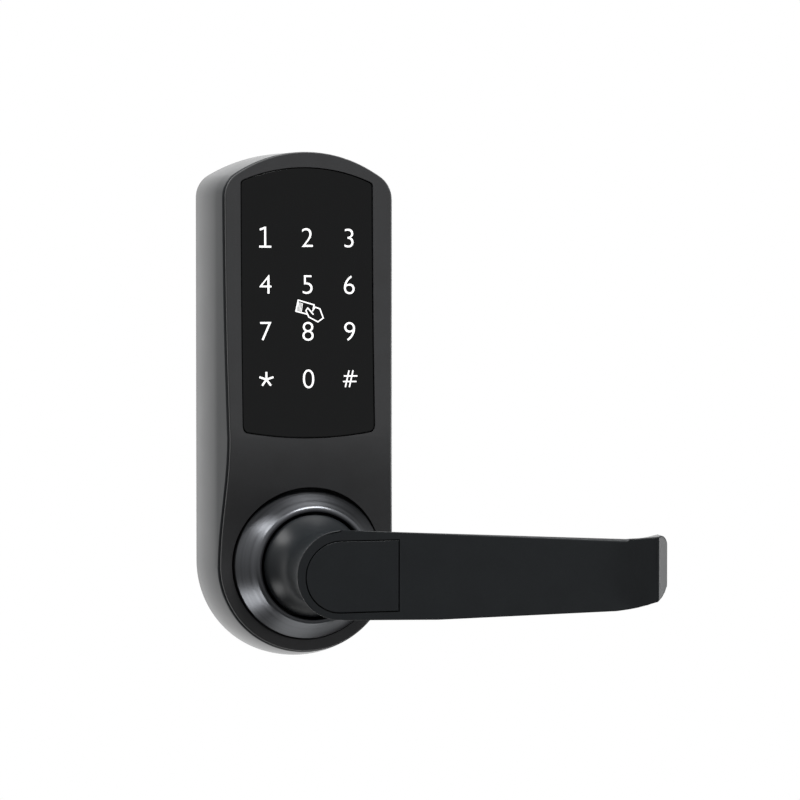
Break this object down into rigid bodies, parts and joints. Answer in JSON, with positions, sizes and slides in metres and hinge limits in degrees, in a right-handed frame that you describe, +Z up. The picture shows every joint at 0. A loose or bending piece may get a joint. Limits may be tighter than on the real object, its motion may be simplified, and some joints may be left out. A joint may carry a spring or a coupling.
{
  "type": "keypad lever lock",
  "caption": "Electronic door lock: tall arched escutcheon with a black touch keypad and a flat lever handle on a bright conical collar, exterior side.",
  "frame": {"origin": "on the spindle axis, in the plane of the door face that the gasket lies against", "axes": "+Y points into the door, the front of the lock faces -Y, +Z is up, and the lever points along +X"},
  "size_m": [0.155, 0.1177, 0.1859],
  "materials": {
    "black_zinc": "satin black coat over die-cast zinc",
    "cover_paint": "satin dark grey coat",
    "dark_chrome": "polished dark chrome",
    "glass_black": "gloss, printed black on the back",
    "rubber": "matt",
    "steel": "bright",
    "zinc_plate": "zinc plated",
    "brass": "turned",
    "board_green": "solder mask",
    "diffuser": "milky",
    "copper": "flat coil",
    "nylon": "moulded",
    "black_plastic": "moulded"
  },
  "bodies": {
    "escutcheon": {"door_gasket": "rubber", "back_plate": "zinc_plate", "rear_housing": "black_zinc", "cover_seal": "rubber", "front_cover": "cover_paint", "cable_grommet": "rubber", "plate_screw_1": "steel", "plate_screw_2": "steel", "plate_screw_3": "steel", "plate_screw_4": "steel", "cover_screw_1": "steel", "cover_screw_2": "steel", "cover_screw_3": "steel", "cover_screw_4": "steel", "board_screw_1": "steel", "board_screw_2": "steel", "mounting_post_1": "steel", "mounting_post_2": "steel", "keypad_glass": "glass_black", "glass_seal": "rubber", "touch_sensor": "nylon", "light_guide": "diffuser", "keypad_board": "board_green", "rfid_antenna": "copper", "main_board": "board_green", "processor_chip": "black_plastic", "buzzer": "black_plastic", "cable_connector": "nylon", "tamper_switch": "black_plastic", "hub_bushing": "brass", "rosette_collar": "dark_chrome", "return_spring": "steel", "stop_plate": "zinc_plate", "clutch_motor": "steel", "motor_bracket": "zinc_plate"},
    "lever": {"lever_handle": "black_zinc", "drive_sleeve": "steel", "lever_set_screw": "steel", "retaining_ring": "steel", "key_cylinder": "brass"},
    "lever_cover": {"lever_cover": "black_zinc"},
    "key_plug": {"key_plug": "brass", "tailpiece": "steel"},
    "spindle": {"spindle_driver": "zinc_plate", "spindle": "steel"},
    "clutch_pin": {"clutch_pin": "steel"},
    "clutch_shoe": {"clutch_shoe": "nylon"},
    "motor_worm": {"motor_worm": "brass"},
    "tamper_plunger": {"tamper_plunger": "nylon"}
  },
  "joints": [
    {"name": "lever_turn", "type": "hinge", "parent": "escutcheon", "child": "lever", "pos_m": [0, 0, 0], "axis": [0, 1, 0], "range_deg": [0, 45], "stiffness_Nm_per_rad": 0.5, "springref_deg": -40.11},
    {"name": "cover_lift", "type": "slide", "parent": "lever", "child": "lever_cover", "axis": [0, -1, 0], "range_m": [0, 0.012]},
    {"name": "key_turn", "type": "hinge", "parent": "lever", "child": "key_plug", "pos_m": [0, 0, 0], "axis": [0, 1, 0], "range_deg": [0, 90]},
    {"name": "spindle_turn", "type": "hinge", "parent": "escutcheon", "child": "spindle", "pos_m": [0, 0, 0], "axis": [0, 1, 0], "range_deg": [-45, 45]},
    {"name": "worm_spin", "type": "hinge", "parent": "escutcheon", "child": "motor_worm", "pos_m": [0, -0.011, 0], "axis": [0, 0, 1], "range_deg": [0, 720.1]},
    {"name": "shoe_slide", "type": "slide", "parent": "escutcheon", "child": "clutch_shoe", "axis": [0, 0, 1], "range_m": [-0.003, 0]},
    {"name": "pin_slide", "type": "slide", "parent": "lever", "child": "clutch_pin", "axis": [0, 0, 1], "range_m": [-0.003, 0]},
    {"name": "tamper_press", "type": "slide", "parent": "escutcheon", "child": "tamper_plunger", "axis": [0, -1, 0], "range_m": [0, 0.0014], "stiffness_N_per_m": 100, "springref_m": -0.001}
  ],
  "couplings": [
    {"joint": "worm_spin", "follows": "shoe_slide", "rad_per_m": -4188.8},
    {"joint": "pin_slide", "follows": "shoe_slide", "ratio": 1}
  ]
}
